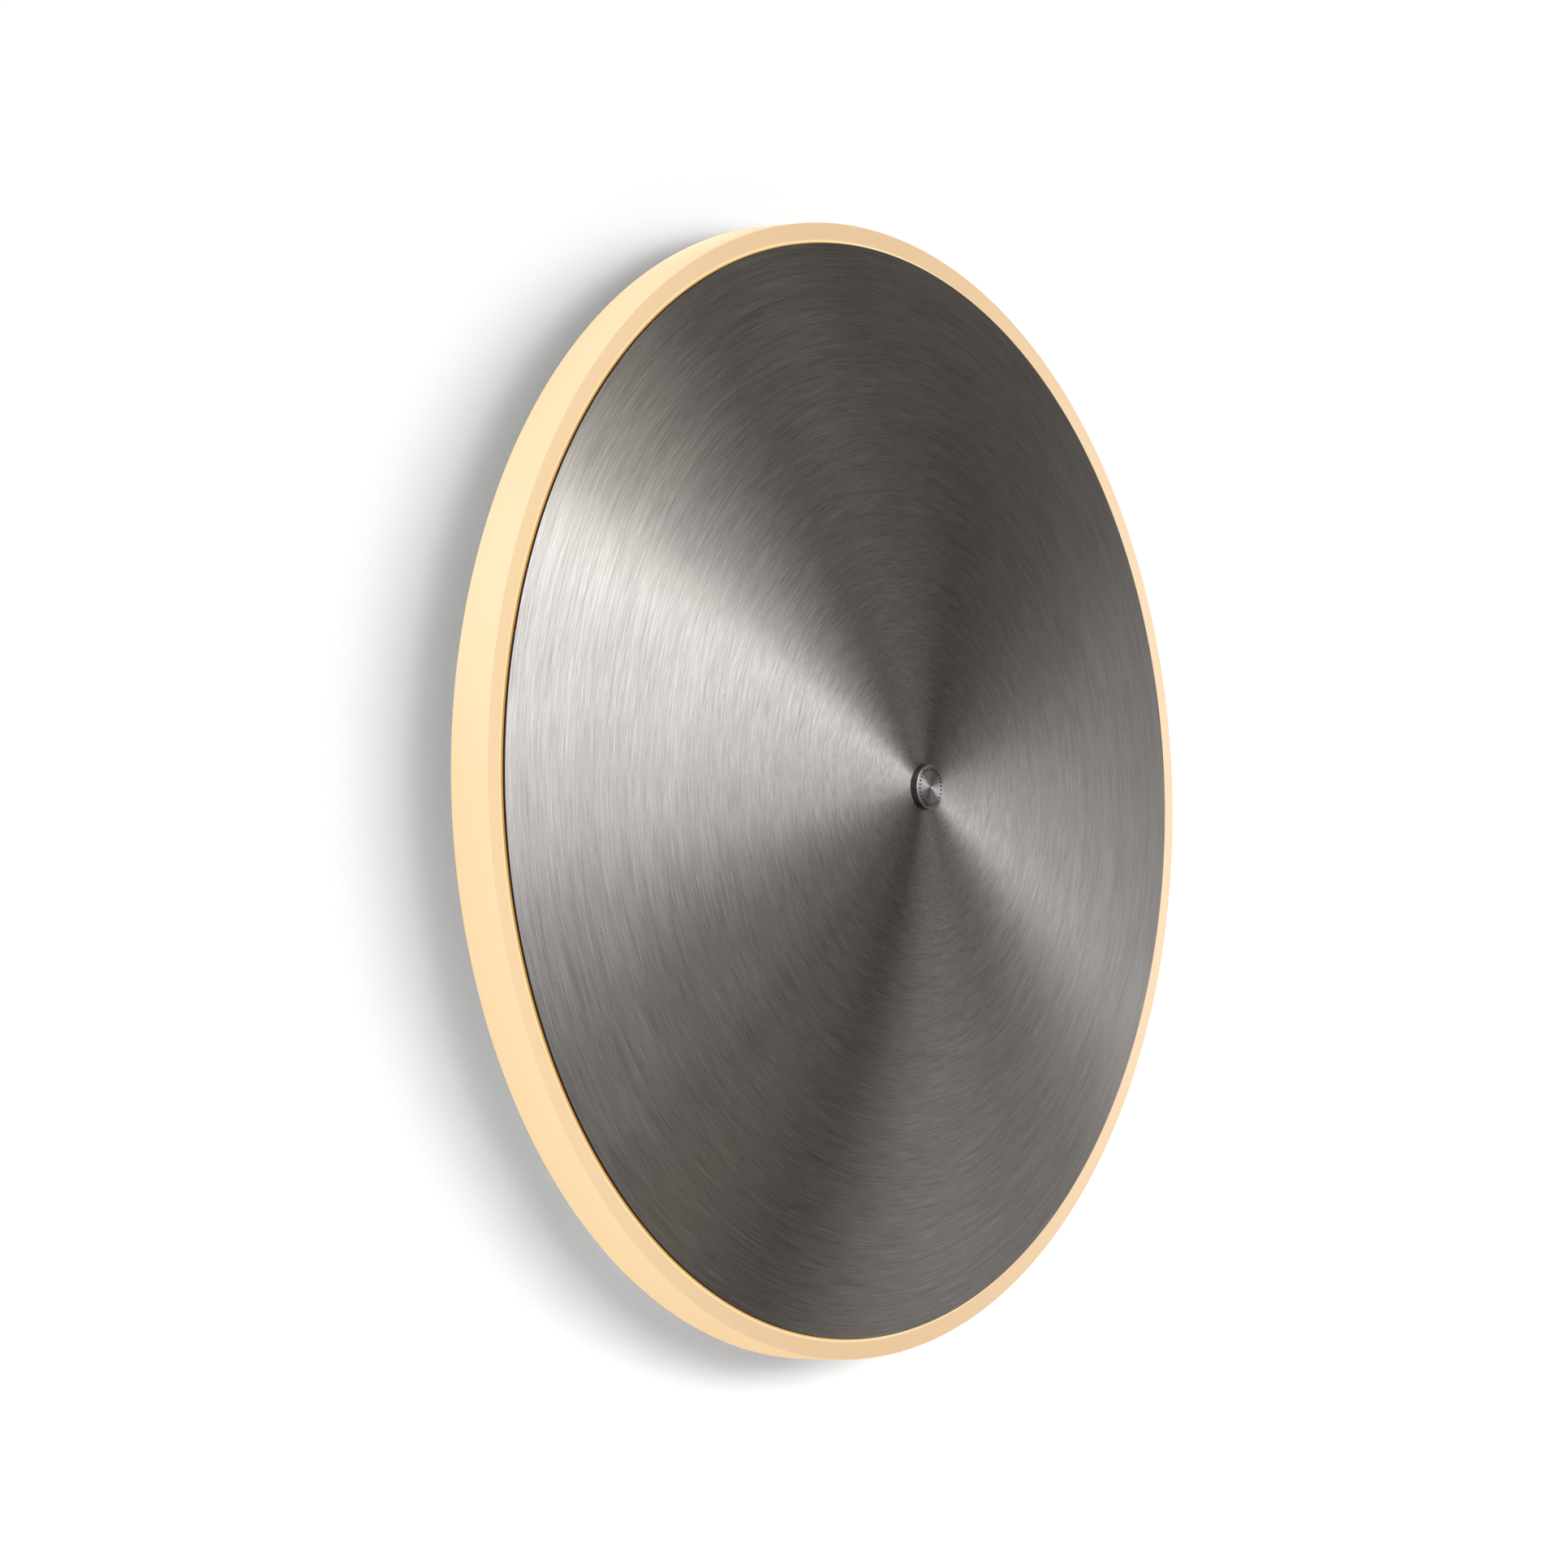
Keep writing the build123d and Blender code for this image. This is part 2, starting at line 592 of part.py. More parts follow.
os.makedirs("parts", exist_ok=True)
for name, make in PIECES.items():
    made = make()
    solids = made if isinstance(made, list) else [made]
    export_step(Compound([place(s) for s in solids]), f"parts/{name}.step")
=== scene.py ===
"""Looks for the disc wall light: brushed dish, glowing acrylic disc, turned finial and the hidden works."""

import json
import math

import bmesh
import bpy
from mathutils import Matrix, Vector


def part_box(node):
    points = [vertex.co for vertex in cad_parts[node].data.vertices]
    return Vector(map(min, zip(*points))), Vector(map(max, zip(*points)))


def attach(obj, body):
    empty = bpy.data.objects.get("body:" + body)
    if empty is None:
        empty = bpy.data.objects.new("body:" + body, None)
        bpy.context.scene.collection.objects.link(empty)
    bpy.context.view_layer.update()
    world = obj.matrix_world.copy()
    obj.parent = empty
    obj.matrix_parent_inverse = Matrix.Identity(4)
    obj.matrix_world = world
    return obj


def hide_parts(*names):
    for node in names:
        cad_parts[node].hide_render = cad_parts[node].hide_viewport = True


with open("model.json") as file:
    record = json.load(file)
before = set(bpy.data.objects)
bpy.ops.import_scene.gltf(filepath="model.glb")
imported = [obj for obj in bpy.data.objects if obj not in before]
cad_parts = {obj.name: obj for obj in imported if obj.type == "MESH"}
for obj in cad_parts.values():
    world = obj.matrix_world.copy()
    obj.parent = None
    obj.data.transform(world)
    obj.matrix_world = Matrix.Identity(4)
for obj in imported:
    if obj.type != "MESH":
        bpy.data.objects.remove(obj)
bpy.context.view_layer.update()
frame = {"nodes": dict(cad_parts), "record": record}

TAU = 2 * math.pi


# ---------------------------------------------------------------- node helpers


class Graph:
    """A small wrapper for building a node tree."""

    def __init__(self, name):
        self.mat = bpy.data.materials.new(name)
        self.mat.use_nodes = True
        self.tree = self.mat.node_tree
        self.bsdf = self.tree.nodes["Principled BSDF"]
        self.out = self.tree.nodes["Material Output"]

    def node(self, kind, **values):
        node = self.tree.nodes.new(kind)
        for key, value in values.items():
            setattr(node, key, value)
        return node

    def link(self, a, b):
        self.tree.links.new(a, b)

    def feed(self, socket, value):
        if isinstance(value, bpy.types.NodeSocket):
            self.link(value, socket)
        else:
            socket.default_value = value

    def math(self, op, a, b=None, c=None, clamp=False):
        node = self.node("ShaderNodeMath", operation=op, use_clamp=clamp)
        for i, value in enumerate((a, b, c)):
            if value is not None:
                self.feed(node.inputs[i], value)
        return node.outputs[0]

    def mix(self, factor, a, b):
        node = self.node("ShaderNodeMix", data_type="RGBA")
        self.feed(node.inputs[0], factor)
        for i, value in ((6, a), (7, b)):
            if isinstance(value, tuple) and len(value) == 3:
                value = (*value, 1.0)
            self.feed(node.inputs[i], value)
        return node.outputs[2]

    def remap(self, value, low, high, to_low, to_high, smooth=False):
        node = self.node("ShaderNodeMapRange")
        if smooth:
            node.interpolation_type = "SMOOTHSTEP"
        for i, v in enumerate((value, low, high, to_low, to_high)):
            self.feed(node.inputs[i], v)
        return node.outputs[0]

    def place(self):
        return self.node("ShaderNodeTexCoord").outputs["Object"]

    def split(self, vector):
        node = self.node("ShaderNodeSeparateXYZ")
        self.link(vector, node.inputs[0])
        return node.outputs

    def join(self, x, y, z):
        node = self.node("ShaderNodeCombineXYZ")
        for socket, value in zip(node.inputs, (x, y, z)):
            self.feed(socket, value)
        return node.outputs[0]

    def noise(self, vector, scale, detail=3.0, rough=0.5):
        node = self.node("ShaderNodeTexNoise")
        self.feed(node.inputs["Vector"], vector)
        node.inputs["Scale"].default_value = scale
        node.inputs["Detail"].default_value = detail
        node.inputs["Roughness"].default_value = rough
        return node.outputs["Fac"]

    def bump(self, height, strength, distance):
        node = self.node("ShaderNodeBump")
        node.inputs["Strength"].default_value = strength
        node.inputs["Distance"].default_value = distance
        self.link(height, node.inputs["Height"])
        return node.outputs["Normal"]

    def set(self, **values):
        """Socket values on the shader itself, by name with underscores for spaces."""
        for key, value in values.items():
            socket = self.bsdf.inputs[key.replace("_", " ")]
            if isinstance(value, tuple) and len(value) == 3:
                value = (*value, 1.0)
            self.feed(socket, value)


def polar_coords(g):
    """Radius about the lamp's axis, the unit vector's two parts, and the distance along the axis."""
    x, y, z = g.split(g.place())
    r = g.math("SQRT", g.math("ADD", g.math("MULTIPLY", x, x), g.math("MULTIPLY", z, z)))
    safe = g.math("MAXIMUM", r, 1e-5)
    return r, g.math("DIVIDE", x, safe), g.math("DIVIDE", z, safe), y


def ring_brushing(g, per_metre, arc):
    """Fine lines that follow circles about the lamp's axis; arc sets how short they are."""
    r, cos, sin, _ = polar_coords(g)
    return g.join(
        g.math("MULTIPLY", r, per_metre), g.math("MULTIPLY", cos, arc), g.math("MULTIPLY", sin, arc)
    )


# ---------------------------------------------------------------- materials


def brushed_material(name, color, dark, rough, anisotropic, per_metre, arc, bump, pits=0.0):
    """Metal brushed in circles about the lamp's axis. pits is how dark its few tiny pits are."""
    g = Graph(name)
    fine = g.noise(ring_brushing(g, per_metre, arc), 1.0, 4.0, 0.8)
    broad = g.noise(ring_brushing(g, per_metre * 0.16, arc * 0.3), 1.0, 3.0, 0.5)
    cloud = g.noise(g.place(), 14.0, 3.0, 0.55)
    lines = g.math("MULTIPLY_ADD", broad, 0.15, g.math("MULTIPLY", fine, 0.85))
    tone = g.remap(lines, 0.36, 0.64, 0.0, 1.0)
    tone = g.math("MULTIPLY_ADD", g.math("SUBTRACT", cloud, 0.5), 0.20, tone, clamp=True)
    base = g.mix(tone, dark, color)
    if pits:
        cells = g.node("ShaderNodeTexVoronoi")
        cells.inputs["Scale"].default_value = 170.0
        g.link(g.place(), cells.inputs["Vector"])
        pick = g.split(cells.outputs["Color"])[0]
        chosen = g.math("LESS_THAN", pick, 0.22)
        dot = g.math("MULTIPLY", chosen, g.remap(cells.outputs["Distance"], 0.035, 0.06, 1.0, 0.0))
        base = g.mix(g.math("MULTIPLY", dot, pits), base, (0.05, 0.045, 0.04))
    g.set(
        Base_Color=base,
        Metallic=1.0,
        Roughness=g.remap(lines, 0.3, 0.7, rough - 0.015, rough + 0.015),
        Anisotropic=anisotropic,
        Anisotropic_Rotation=0.25,
    )
    tangent = g.node("ShaderNodeTangent", direction_type="RADIAL", axis="Y")
    g.link(tangent.outputs[0], g.bsdf.inputs["Tangent"])
    g.link(g.bump(fine, bump, 0.0002), g.bsdf.inputs["Normal"])
    return g.mat


# Painted shade: the dish's cut rim, the same metal as the dish, is painted near-black and made dull so it
# reads as a dark shaded line at the dish's edge.
def dish_edge_painted_shade_material():
    g = Graph("dish_rim_painted_shade")
    grain = g.noise(g.place(), 420.0, 4.0, 0.6)
    g.set(
        Base_Color=g.mix(grain, (0.014, 0.008, 0.006), (0.032, 0.018, 0.013)),
        Metallic=0.2,
        Roughness=g.remap(grain, 0.3, 0.7, 0.6, 0.75),
        Specular_IOR_Level=0.2,
    )
    g.link(g.bump(grain, 0.2, 0.0001), g.bsdf.inputs["Normal"])
    return g.mat


def acrylic_material():
    """Opal acrylic lit from its bore: brightest towards the sides. Its glow also carries painted light and
    shade: darker at top and bottom, brighter to the right of its face, a painted bright line beyond the
    dish's rim and painted shade under that rim.
    """
    g = Graph("opal_acrylic_lit")
    r, cos, sin, y = polar_coords(g)
    haze = g.noise(g.place(), 9.0, 2.0, 0.5)
    fine = g.noise(g.place(), 900.0, 3.0, 0.5)
    face = g.math("LESS_THAN", r, ACRYLIC_R - ACRYLIC_EDGE)
    # The glow colours below are the disc's own light, set somewhat brighter to stand in for studio light
    # falling on it: partly real glow, partly painted light.
    side_tone = g.mix(
        g.remap(y, BACK_Y, FRONT_Y, 0.0, 1.0), (0.98, 0.715, 0.405), (1.0, 0.760, 0.457)
    )
    # Painted shade: the glow is darker towards the top and bottom of the disc.
    across = g.math("POWER", g.math("ABSOLUTE", sin), 3.0)
    side_glow_painted_shade = g.mix(across, side_tone, (0.94, 0.670, 0.375))
    # Painted light: the front face is brighter towards the right and darker towards the left.
    right = g.remap(cos, -1.0, 1.0, 0.0, 1.0, smooth=True)
    face_painted_side_light = g.mix(right, (0.905, 0.660, 0.384), (0.955, 0.735, 0.495))
    front = g.mix(across, face_painted_side_light, (0.765, 0.530, 0.312))
    glow = g.mix(face, side_glow_painted_shade, front)
    # Painted highlight: a thin bright gold line on the acrylic just beyond the dish's rim.
    painted_rim_glow = g.remap(r, 0.2004, 0.2009, 1.0, 0.0)
    glow = g.mix(g.math("MULTIPLY", painted_rim_glow, 0.75), glow, (1.0, 0.86, 0.45))
    # Painted shade: a dark brown band on the acrylic under the dish's rim, seen through the gap.
    painted_shade_under_rim = g.remap(r, 0.1996, 0.2001, 1.0, 0.0)
    painted_gap_shade = g.math("MULTIPLY", painted_shade_under_rim, g.remap(r, 0.1975, 0.1985, 0.0, 1.0))
    glow = g.mix(painted_gap_shade, glow, (0.62, 0.28, 0.05))
    glow = g.mix(g.remap(haze, 0.3, 0.7, 0.0, 0.10), glow, (0.80, 0.58, 0.34))
    g.set(
        Base_Color=g.mix(fine, (0.060, 0.046, 0.030), (0.075, 0.058, 0.038)),
        Roughness=g.remap(fine, 0.3, 0.7, 0.42, 0.55),
        Specular_IOR_Level=0.25,
        Emission_Color=glow,
        Emission_Strength=0.97,
    )
    g.link(g.bump(fine, 0.08, 0.0001), g.bsdf.inputs["Normal"])
    g.mat.cycles.emission_sampling = "NONE"
    return g.mat


def coated_material(name, color, rough=0.4, grain=700.0, bump=0.15, spread=0.04):
    """Powder coat or moulded plastic: a fine orange peel with faint blotches."""
    g = Graph(name)
    peel = g.noise(g.place(), grain, 3.0, 0.55)
    blotch = g.noise(g.place(), 22.0, 3.0, 0.5)
    shade = tuple(max(0.0, c * (1 - 2.2 * spread)) for c in color)
    g.set(
        Base_Color=g.mix(g.remap(blotch, 0.3, 0.7, 0.0, 1.0), shade, color),
        Roughness=g.remap(peel, 0.3, 0.7, rough - 0.06, rough + 0.06),
    )
    g.link(g.bump(peel, bump, 0.0002), g.bsdf.inputs["Normal"])
    return g.mat


def metal_material(name, color, rough=0.3, streak=(900.0, 60.0, 60.0), spread=0.18):
    """Plated or turned metal with streaks along its working direction."""
    g = Graph(name)
    mapped = g.node("ShaderNodeMapping")
    mapped.inputs["Scale"].default_value = streak
    g.link(g.place(), mapped.inputs["Vector"])
    lines = g.noise(mapped.outputs[0], 1.0, 4.0, 0.6)
    stain = g.noise(g.place(), 35.0, 4.0, 0.6)
    tone = g.math("MULTIPLY_ADD", lines, 0.5, g.math("MULTIPLY", stain, 0.5))
    shade = tuple(c * (1 - spread) for c in color)
    g.set(
        Base_Color=g.mix(g.remap(tone, 0.35, 0.65, 0.0, 1.0), shade, color),
        Metallic=1.0,
        Roughness=g.remap(tone, 0.35, 0.65, rough + 0.08, rough - 0.05),
    )
    g.link(g.bump(lines, 0.12, 0.0001), g.bsdf.inputs["Normal"])
    return g.mat


def turned_material(name, color, rough=0.32, per_metre=2600.0):
    g = Graph(name)
    lines = g.noise(ring_brushing(g, per_metre, 1.5), 1.0, 3.0, 0.6)
    stain = g.noise(g.place(), 30.0, 3.0, 0.5)
    shade = tuple(c * 0.84 for c in color)
    g.set(
        Base_Color=g.mix(g.remap(stain, 0.3, 0.7, 0.0, 1.0), shade, color),
        Metallic=1.0,
        Roughness=g.remap(lines, 0.3, 0.7, rough - 0.05, rough + 0.08),
    )
    g.link(g.bump(lines, 0.2, 0.0001), g.bsdf.inputs["Normal"])
    return g.mat


def rubber_material(name, color, rough=0.75):
    g = Graph(name)
    grain = g.noise(g.place(), 1500.0, 3.0, 0.6)
    dust = g.noise(g.place(), 60.0, 3.0, 0.6)
    bloom = tuple(min(1.0, c * 1.6 + 0.02) for c in color)
    g.set(
        Base_Color=g.mix(g.remap(dust, 0.45, 0.75, 0.0, 1.0), color, bloom),
        Roughness=g.remap(grain, 0.3, 0.7, rough - 0.08, rough + 0.1),
    )
    g.link(g.bump(grain, 0.25, 0.0001), g.bsdf.inputs["Normal"])
    return g.mat


def striped_material(name, color, stripe):
    """Two-coloured insulation, in bands along the lead."""
    g = Graph(name)
    x, y, z = g.split(g.place())
    wave = g.math("SINE", g.math("MULTIPLY", g.math("ADD", g.math("ADD", x, y), z), 900.0))
    grain = g.noise(g.place(), 800.0, 2.0, 0.5)
    g.set(
        Base_Color=g.mix(g.remap(wave, 0.1, 0.25, 0.0, 1.0), color, stripe),
        Roughness=g.remap(grain, 0.3, 0.7, 0.35, 0.5),
    )
    g.link(g.bump(grain, 0.1, 0.0001), g.bsdf.inputs["Normal"])
    return g.mat


# ---------------------------------------------------------------- sizes from the frame


def lowest(node):
    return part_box(node)[0]


def highest(node):
    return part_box(node)[1]


MM = 0.001
FRONT_Y = lowest("diffuser")[1]
BACK_Y = highest("diffuser")[1]
ACRYLIC_R = highest("diffuser")[0]
ACRYLIC_EDGE = 0.15 * MM  # radius of the disc's rounded edges
DISH_RIM_Y = highest("dish")[1]
CROWN_Y = lowest("dish")[1]
DISH_TRIM = 0.5 * MM  # the photo's dish is this much smaller in radius than the CAD's
DISH_R = round(highest("dish")[0], 4) - DISH_TRIM
DISH_SHEET = 1.0 * MM
DISH_RISE = DISH_RIM_Y - CROWN_Y - DISH_SHEET
CAP_Y = lowest("finial_cap")[1]
CAP_BACK_Y = lowest("cap_washer")[1]
CAP_R = highest("finial_cap")[0]
ROUND_STEPS = 384  # faces round the dish and the disc
CREASE = math.radians(38)  # edges that turn more than this are sharp


# ---------------------------------------------------------------- mesh helpers


def lathe(name, profile, segments, materials=None, carve=None):
    """Turns (radius, y) points about the lamp's axis. The profile is closed.

    materials gives a step's material number, and carve may cut the rings before the shading is set.
    """
    mesh = bpy.data.meshes.new(name)
    bm = bmesh.new()
    angles = [TAU * i / segments for i in range(segments)]
    rings = []
    for radius, y in profile:
        rings.append([bm.verts.new((radius * math.cos(a), y, radius * math.sin(a))) for a in angles])
    count = len(rings)
    for k in range(count):
        a, b = rings[k], rings[(k + 1) % count]
        for i in range(segments):
            j = (i + 1) % segments
            face = bm.faces.new((a[i], a[j], b[j], b[i]))
            face.smooth = True
            face.material_index = materials(k) if materials else 0
    if carve:
        carve(bm, rings)
    bm.normal_update()
    bmesh.ops.recalc_face_normals(bm, faces=bm.faces[:])
    for edge in bm.edges:
        kinds = {face.material_index for face in edge.link_faces}
        if len(kinds) > 1 or edge.calc_face_angle(0) > CREASE:
            edge.smooth = False
    bm.to_mesh(mesh)
    bm.free()
    obj = bpy.data.objects.new(name, mesh)
    bpy.context.scene.collection.objects.link(obj)
    return obj


def arc(cx, cy, radius, start, end, steps):
    """Points on a circle in the (radius, y) plane, angles in degrees."""
    points = []
    for i in range(steps + 1):
        a = math.radians(start + (end - start) * i / steps)
        points.append((cx + radius * math.cos(a), cy + radius * math.sin(a)))
    return points


# ---------------------------------------------------------------- camera

LENS, SENSOR = 157.4963, 36.0
RIM_FRONT_Y = DISH_RIM_Y - DISH_SHEET
VIEW_AZIMUTH, VIEW_ELEVATION, VIEW_DISTANCE = -52.49, -2.966, 2.5
AIM_RIGHT, AIM_UP = 0.02614, 0.00221

cam_data = bpy.data.cameras.new("camera")
cam = bpy.data.objects.new("camera", cam_data)
bpy.context.scene.collection.objects.link(cam)
bpy.context.scene.camera = cam
azimuth, elevation = math.radians(VIEW_AZIMUTH), math.radians(VIEW_ELEVATION)
back = Vector(
    (
        math.sin(azimuth) * math.cos(elevation),
        -math.cos(azimuth) * math.cos(elevation),
        math.sin(elevation),
    )
)
right = (-back).cross(Vector((0, 0, 1))).normalized()
up = right.cross(-back)
spot = Vector((0, RIM_FRONT_Y, 0)) + back * VIEW_DISTANCE - right * AIM_RIGHT + up * AIM_UP
turn = Matrix((right, up, back)).transposed().to_4x4()
cam.matrix_world = Matrix.Translation(spot) @ turn
cam_data.lens = LENS
cam_data.sensor_width = SENSOR
cam_data.clip_start, cam_data.clip_end = 0.05, 60.0


# ---------------------------------------------------------------- dish


def dish_profile():
    sphere = (DISH_R**2 + DISH_RISE**2) / (2 * DISH_RISE)
    centre = CROWN_Y + sphere
    hole = 3.3 * MM
    edge = 0.12 * MM
    front_steps, back_steps = 90, 40

    def on_sphere(radius, drop):
        return centre - math.sqrt((sphere - drop) ** 2 - radius**2)

    def across(steps):
        return [hole + (DISH_R - edge - hole) * (i / steps) for i in range(steps + 1)]

    outer = [(r, on_sphere(r, 0)) for r in across(front_steps)]
    inner = [(r, on_sphere(r, DISH_SHEET)) for r in reversed(across(back_steps))]
    rim_front = on_sphere(DISH_R, 0)
    rim_back = on_sphere(DISH_R, DISH_SHEET)
    rim = [(DISH_R, rim_front + edge), (DISH_R, rim_back - edge)]
    return outer + rim + inner, len(outer), len(rim)


profile, outer_count, rim_count = dish_profile()
dish = lathe(
    "dish_skin",
    profile,
    ROUND_STEPS,
    materials=lambda k: int(outer_count - 1 <= k < outer_count + rim_count),
)
DISH_LIGHT, DISH_DARK = (0.68, 0.66, 0.65), (0.38, 0.36, 0.35)
dish.data.materials.append(
    brushed_material("brushed_dish", DISH_LIGHT, DISH_DARK, 0.39, 0.96, 2300.0, 8.0, 0.12, pits=0.6)
)
# The rim gets the painted-shade material, a near-black line at the dish's edge.
dish.data.materials.append(dish_edge_painted_shade_material())
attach(dish, "front")
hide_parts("dish")


# ---------------------------------------------------------------- acrylic disc


def acrylic_profile():
    bore = 91.0 * MM
    soft = ACRYLIC_EDGE
    front = arc(ACRYLIC_R - soft, FRONT_Y + soft, soft, -90, 0, 5)
    rear = arc(ACRYLIC_R - soft, BACK_Y - soft, soft, 0, 90, 5)
    lead_in = [(bore, FRONT_Y), (0.150, FRONT_Y), (0.198, FRONT_Y), (0.2035, FRONT_Y)]
    lead_out = [(0.198, BACK_Y), (0.150, BACK_Y), (bore, BACK_Y)]
    return lead_in + front + rear + lead_out


acrylic = lathe("acrylic_disc", acrylic_profile(), ROUND_STEPS)
acrylic.data.materials.append(acrylic_material())
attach(acrylic, "lamp")
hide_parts("diffuser")
acrylic.visible_diffuse = False


# ---------------------------------------------------------------- finial cap

CAP_MARKS, MARK_INNER, MARK_OUTER, MARK_DEPTH = 28, 5.95 * MM, 7.05 * MM, 0.2 * MM
CAP_STEPS = 8  # faces round the cap for each mark
MARK_FROM, MARK_TO = 2, 5  # the mark's own faces among them
CAP_FACE, CAP_EDGE, CAP_SIDE_PAINTED_SHADE, CAP_STEM, CAP_MARK = range(5)  # material numbers
STEM_R, STEM_TIP_Y = 3.0 * MM, highest("finial_cap")[1]


def cap_profile():
    """Face, rounded edge, side, rounded back edge, back, threaded stem; and a material for each step."""
    soft = 0.12 * MM
    face = [(0.06 * MM, CAP_Y + 0.10 * MM), (0.30 * MM, CAP_Y)]
    face += [(r * MM, CAP_Y) for r in (1.5, 3.0, 4.5, 5.3)] + [(MARK_INNER, CAP_Y), (MARK_OUTER, CAP_Y)]
    edge = arc(CAP_R - soft, CAP_Y + soft, soft, -90, 0, 5)
    rear = arc(CAP_R - soft, CAP_BACK_Y - soft, soft, 0, 90, 4)
    stem = [(STEM_R, CAP_BACK_Y), (STEM_R, STEM_TIP_Y - 0.6 * MM), (STEM_R - 0.6 * MM, STEM_TIP_Y)]
    points = face + edge + rear + stem + [(0.06 * MM, STEM_TIP_Y)]
    kinds = [CAP_FACE] * len(face) + [CAP_EDGE] * (len(edge) - 1) + [CAP_SIDE_PAINTED_SHADE] * len(rear)
    return points, kinds + [CAP_STEM] * (len(points) - len(kinds)), len(face)


cap_points, cap_kinds, face_count = cap_profile()


def cut_marks(bm, rings):
    """Sinks a short radial slot into the face for each mark."""
    inner, outer = rings[face_count - 2], rings[face_count - 1]
    for mark in range(CAP_MARKS):
        span = range(mark * CAP_STEPS + MARK_FROM, mark * CAP_STEPS + MARK_TO)
        faces = []
        for i in span:
            j = (i + 1) % len(inner)
            faces += [f for f in inner[i].link_faces if outer[j] in f.verts]
        made = bmesh.ops.extrude_face_region(bm, geom=faces)["geom"]
        for vert in (v for v in made if isinstance(v, bmesh.types.BMVert)):
            vert.co.y += MARK_DEPTH
        bmesh.ops.delete(bm, geom=faces, context="FACES")
        for new in (f for f in made if isinstance(f, bmesh.types.BMFace)):
            new.material_index = CAP_MARK
            for edge in new.edges:
                for side in edge.link_faces:
                    if abs(side.calc_center_median().y - CAP_Y) > 0.01 * MM:
                        side.material_index = CAP_MARK


def mark_material():
    g = Graph("cap_marks")
    grain = g.noise(g.place(), 5000.0, 3.0, 0.6)
    g.set(
        Base_Color=g.mix(grain, (0.012, 0.011, 0.012), (0.030, 0.028, 0.028)),
        Metallic=0.3,
        Roughness=g.remap(grain, 0.3, 0.7, 0.5, 0.7),
        Specular_IOR_Level=0.2,
    )
    g.link(g.bump(grain, 0.2, 0.0001), g.bsdf.inputs["Normal"])
    return g.mat


cap = lathe("finial_cap_turned", cap_points, CAP_MARKS * CAP_STEPS, lambda k: cap_kinds[k], cut_marks)
for material in (
    brushed_material("cap_face", (0.72, 0.70, 0.72), (0.50, 0.48, 0.49), 0.34, 0.95, 6500.0, 6.0, 0.14),
    metal_material("cap_bright_edge", (0.60, 0.59, 0.59), 0.30, (300.0,) * 3),
    # Painted shade: the cap's side and rounded back edge are the same turned metal as its face, painted
    # near-black so they don't show the reflections they would catch.
    turned_material("cap_side_painted_shade", (0.085, 0.076, 0.072), 0.32, 5200.0),
    metal_material("cap_stem", (0.62, 0.61, 0.60), 0.25, (200.0, 2600.0, 200.0)),
    mark_material(),
):
    cap.data.materials.append(material)
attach(cap, "finial")
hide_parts("finial_cap")


# ---------------------------------------------------------------- carried-over CAD nodes

SLOT_MATERIALS = {
    "cap_metal": lambda: brushed_material(
        "cap_metal", (0.58, 0.56, 0.55), (0.40, 0.385, 0.375), 0.38, 0.9, 5200.0, 3.0, 0.20
    ),
    "white_enamel": lambda: coated_material("white_enamel", (0.80, 0.80, 0.79), 0.38, 900.0, 0.20),
    "reflector_white": lambda: coated_material("reflector_white", (0.86, 0.86, 0.84), 0.6, 500.0, 0.08),
    "zinc": lambda: metal_material("zinc_plate", (0.62, 0.63, 0.66), 0.34, (60.0, 60.0, 900.0)),
    "hub_aluminium": lambda: turned_material("hub_aluminium", (0.78, 0.78, 0.79)),
    "fixings": lambda: metal_material("nickel_fixings", (0.62, 0.61, 0.60), 0.25, (300.0,) * 3),
    "brass_fixing": lambda: metal_material("brass_fixings", (0.78, 0.58, 0.27), 0.25, (300.0,) * 3),
    "strip_white": lambda: coated_material("strip_white", (0.85, 0.85, 0.83), 0.5, 600.0, 0.05),
    "led_phosphor": lambda: coated_material("led_phosphor", (0.90, 0.70, 0.20), 0.3, 400.0, 0.10),
    "driver_plastic": lambda: coated_material("driver_plastic", (0.78, 0.78, 0.76), 0.5, 1100.0, 0.35),
    "potting": lambda: coated_material("potting", (0.020, 0.020, 0.022), 0.25, 300.0, 0.20),
    "terminal_plastic": lambda: coated_material("terminal_plastic", (0.66, 0.64, 0.58), 0.42, 800.0, 0.15),
    "black_rubber": lambda: rubber_material("black_rubber", (0.018, 0.018, 0.019)),
    "clear_rubber": lambda: rubber_material("clear_rubber", (0.60, 0.60, 0.57), 0.5),
    "lead_brown": lambda: coated_material("lead_brown", (0.100, 0.036, 0.014), 0.38, 600.0, 0.08),
    "lead_blue": lambda: coated_material("lead_blue", (0.016, 0.070, 0.300), 0.38, 600.0, 0.08),
    "lead_green": lambda: striped_material("lead_green", (0.055, 0.270, 0.022), (0.72, 0.60, 0.04)),
    "lead_red": lambda: coated_material("lead_red", (0.380, 0.012, 0.010), 0.38, 600.0, 0.08),
    "lead_black": lambda: coated_material("lead_black", (0.012, 0.012, 0.012), 0.38, 600.0, 0.08),
}

made = {}
REPLACED = {"dish", "diffuser", "finial_cap"}
for part in frame["record"]["subparts"]:
    node, slot = part["node"], part["material_slot"]
    if node in REPLACED:
        continue
    if slot not in made:
        made[slot] = SLOT_MATERIALS[slot]()
    obj = frame["nodes"][node]
    for i in range(len(obj.material_slots)):
        obj.material_slots[i].material = made[slot]


# ---------------------------------------------------------------- studio


